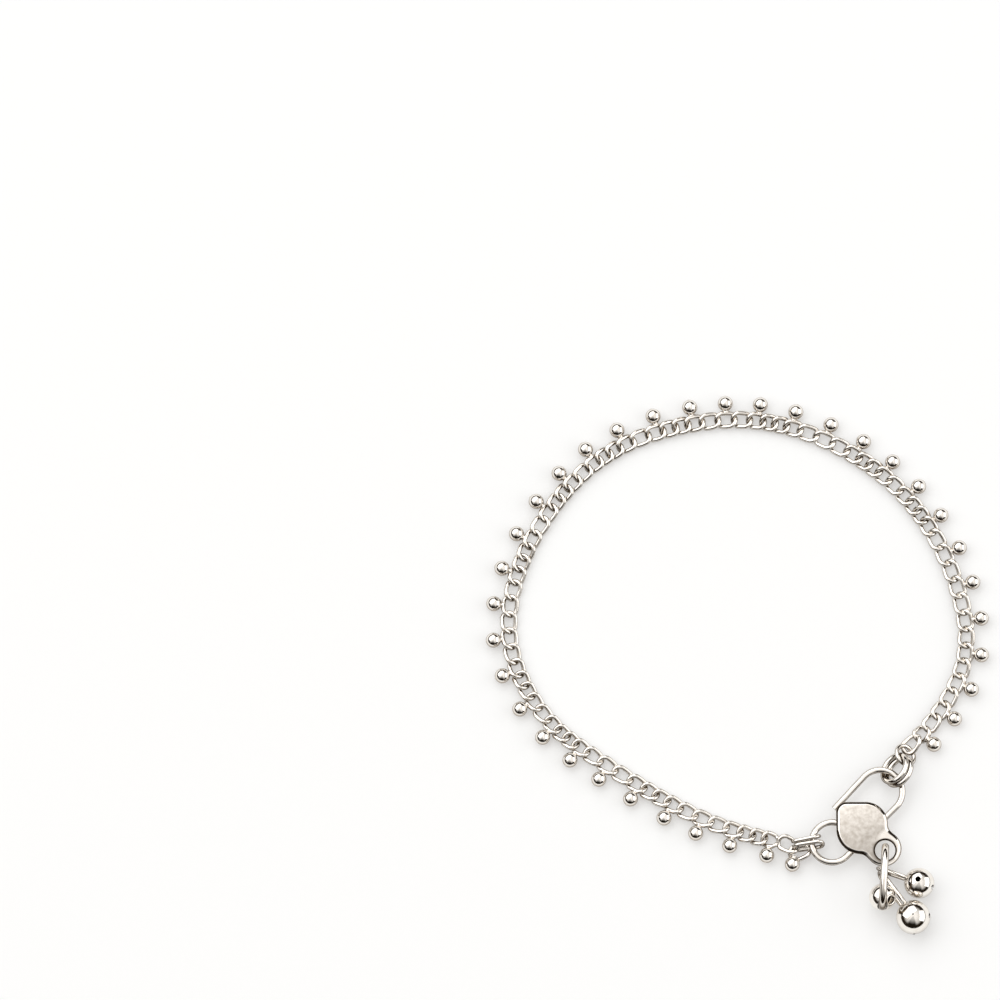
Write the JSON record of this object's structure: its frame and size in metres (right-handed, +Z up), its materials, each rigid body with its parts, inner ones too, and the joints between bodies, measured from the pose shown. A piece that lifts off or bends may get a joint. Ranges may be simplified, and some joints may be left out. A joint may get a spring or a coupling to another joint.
{
  "type": "payal anklet",
  "caption": "Silver payal anklet: a curb chain with small balls soldered along its outer side, closed by an S-hook clasp with a plate and a ring of small hollow bells.",
  "frame": {"origin": "middle of the outline's box on the surface that the anklet lies on", "axes": "+Z up out of that surface, +Y from the clasp's side towards the far side of the loop, +X towards the hook's side; the ankle's axis is along +Z"},
  "size_m": [0.0956, 0.104, 0.0093],
  "materials": {
    "chain_silver": "polished 925 silver chain with soldered balls",
    "clasp_silver": "polished silver wire, the plate's face satin",
    "bell_silver": "polished hollow silver bells"
  },
  "bodies": {
    "root": {"chain_1": "chain_silver", "chain_2": "chain_silver", "chain_3": "chain_silver", "chain_4": "chain_silver", "chain_5": "chain_silver", "chain_6": "chain_silver", "connector_link_1": "chain_silver", "connector_link_2": "chain_silver", "hook_clasp": "clasp_silver", "hook_ring_a": "clasp_silver", "hook_ring_b": "clasp_silver", "end_ring": "clasp_silver", "bell_ring": "clasp_silver", "bell_upper": "bell_silver", "bell_lower": "bell_silver", "bell_side": "bell_silver"}
  },
  "joints": []
}
